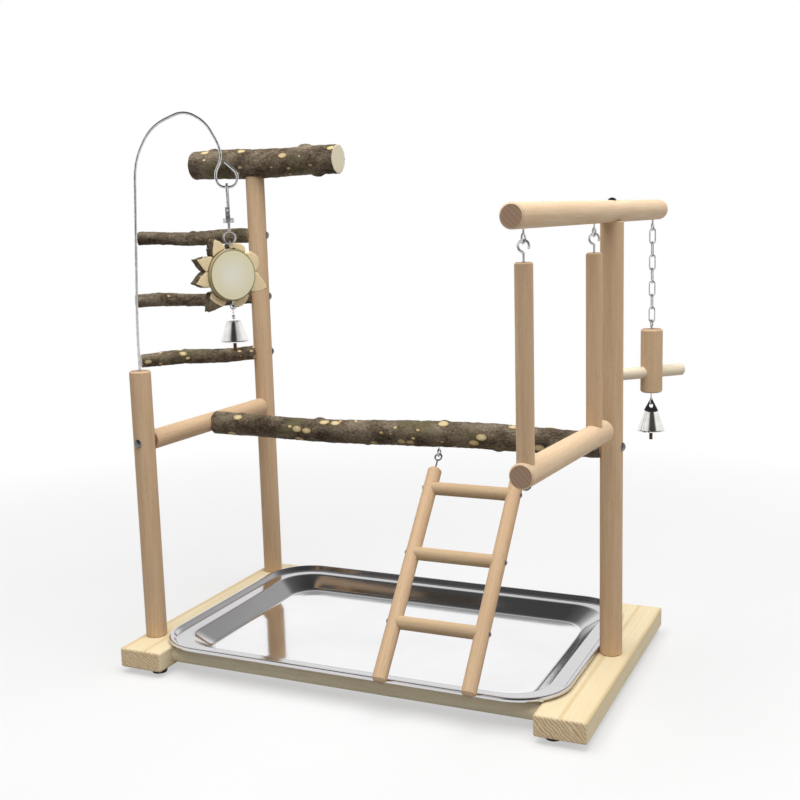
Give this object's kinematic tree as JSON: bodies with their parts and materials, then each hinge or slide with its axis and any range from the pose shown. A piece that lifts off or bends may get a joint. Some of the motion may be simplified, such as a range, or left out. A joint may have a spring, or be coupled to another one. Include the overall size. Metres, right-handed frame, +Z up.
{
  "type": "parrot play stand",
  "caption": "Tabletop play stand for a parrot: wooden frame with bark perches, a swing, a ladder, a pull-out steel tray and hanging toys with bells.",
  "frame": {"origin": "on the floor under the middle of the whole outline", "axes": "+X to the right along the base's width, +Y from the front to the rear, +Z up"},
  "size_m": [0.6298, 0.406, 0.5694],
  "materials": {
    "beech": "sanded beech, unvarnished",
    "pine": "planed pine, unvarnished",
    "pale_dowel": "pale sanded dowel",
    "bark": "natural bark with pale scars",
    "slice_wood": "sawn branch slice with bark edge",
    "zinc_steel": "zinc plated",
    "nickel": "nickel plated",
    "chrome_bell": "bright plated",
    "clapper_metal": "dark bronze",
    "tray_steel": "polished stainless sheet",
    "rubber": "matt black",
    "black_plastic": "matt black"
  },
  "bodies": {
    "stand": {"left_base_beam": "pine", "right_base_beam": "pine", "front_base_dowel": "beech", "rear_base_dowel": "beech", "rubber_feet": "rubber", "foot_screws": "zinc_steel", "base_screws": "zinc_steel", "front_left_post": "beech", "rear_left_post": "beech", "right_post": "beech", "left_rail": "beech", "rail_screws": "zinc_steel", "long_bark_perch": "bark", "long_perch_screws": "zinc_steel", "upper_step_perch": "bark", "middle_step_perch": "bark", "lower_step_perch": "bark", "step_perch_screws": "zinc_steel", "top_bark_perch": "bark", "top_screws": "zinc_steel", "top_dowel": "beech", "dowel_screw_eyes": "nickel", "perch_screw_eyes": "nickel", "crook_wire": "nickel"},
    "swing": {"swing_hooks": "nickel", "swing_front_arm": "beech", "swing_rear_arm": "beech", "swing_perch": "beech", "swing_arm_screws": "zinc_steel"},
    "ladder": {"ladder_left_rail": "beech", "ladder_right_rail": "beech", "ladder_rungs": "beech", "ladder_screws": "zinc_steel", "ladder_eyes": "nickel"},
    "tray": {"tray": "tray_steel"},
    "snap_hook": {"snap_hook": "nickel"},
    "snap_lever": {"snap_lever": "nickel"},
    "swivel": {"swivel_eye": "nickel"},
    "flower": {"flower_disc": "slice_wood", "flower_petals": "slice_wood", "flower_eyes": "nickel"},
    "flower_bell": {"flower_bell": "chrome_bell"},
    "flower_clapper": {"flower_clapper": "clapper_metal"},
    "upper_chain": {"upper_chain_links": "nickel"},
    "lower_chain": {"lower_chain_links": "nickel"},
    "toy_block": {"toy_block": "beech", "block_eyes": "nickel", "toy_cross_perch": "pale_dowel"},
    "toy_bell": {"toy_bell": "chrome_bell", "bell_hanger": "black_plastic"},
    "toy_clapper": {"toy_clapper": "clapper_metal"}
  },
  "joints": [
    {"name": "swing_pivot", "type": "hinge", "parent": "stand", "child": "swing", "pos_m": [0.25991, -0.17853, 0.439], "axis": [0.0698, 0.9976, 0], "range_deg": [-30, 30]},
    {"name": "ladder_pivot", "type": "hinge", "parent": "stand", "child": "ladder", "pos_m": [0.14056, 0.03604, 0.2183], "axis": [-1, 0, 0], "range_deg": [0, 49]},
    {"name": "tray_lift", "type": "slide", "parent": "stand", "child": "tray", "axis": [0, 0.766, 0.6428], "range_m": [0, 0.35]},
    {"name": "snap_hook_swing", "type": "hinge", "parent": "stand", "child": "snap_hook", "pos_m": [-0.09814, -0.03565, 0.4946], "axis": [0.8988, 0.4384, 0], "range_deg": [-25, 25]},
    {"name": "snap_lever_press", "type": "hinge", "parent": "snap_hook", "child": "snap_lever", "pos_m": [-0.09613, -0.03978, 0.47285], "axis": [-0.8988, -0.4384, 0], "range_deg": [0, 20], "stiffness_Nm_per_rad": 0.003, "springref_deg": -8.59},
    {"name": "swivel_turn", "type": "hinge", "parent": "snap_hook", "child": "swivel", "pos_m": [-0.09814, -0.03565, 0.46135], "axis": [0, 0, 1], "continuous": true},
    {"name": "flower_swing", "type": "hinge", "parent": "swivel", "child": "flower", "pos_m": [-0.09814, -0.03565, 0.43835], "axis": [0.8988, 0.4384, 0], "range_deg": [-20, 20]},
    {"name": "flower_bell_swing", "type": "hinge", "parent": "flower", "child": "flower_bell", "pos_m": [-0.09814, -0.03565, 0.372], "axis": [0.8988, 0.4384, 0], "range_deg": [-22, 22]},
    {"name": "flower_clapper_swing", "type": "hinge", "parent": "flower_bell", "child": "flower_clapper", "pos_m": [-0.09814, -0.03565, 0.3557], "axis": [-0.4384, 0.8988, 0], "range_deg": [-12, 12]},
    {"name": "chain_swing", "type": "hinge", "parent": "stand", "child": "upper_chain", "pos_m": [0.2844, 0.17171, 0.439], "axis": [0.0698, 0.9976, 0], "range_deg": [-25, 25]},
    {"name": "chain_bend", "type": "hinge", "parent": "upper_chain", "child": "lower_chain", "pos_m": [0.2844, 0.17171, 0.38475], "axis": [0.0698, 0.9976, 0], "range_deg": [-15, 15]},
    {"name": "block_swing", "type": "hinge", "parent": "lower_chain", "child": "toy_block", "pos_m": [0.2844, 0.17171, 0.34395], "axis": [0.9976, -0.0698, 0], "range_deg": [-20, 20]},
    {"name": "toy_bell_swing", "type": "hinge", "parent": "toy_block", "child": "toy_bell", "pos_m": [0.2844, 0.17171, 0.2563], "axis": [0.0698, 0.9976, 0], "range_deg": [-25, 25]},
    {"name": "toy_clapper_swing", "type": "hinge", "parent": "toy_bell", "child": "toy_clapper", "pos_m": [0.2844, 0.17171, 0.245], "axis": [0.0698, 0.9976, 0], "range_deg": [-12, 12]}
  ]
}
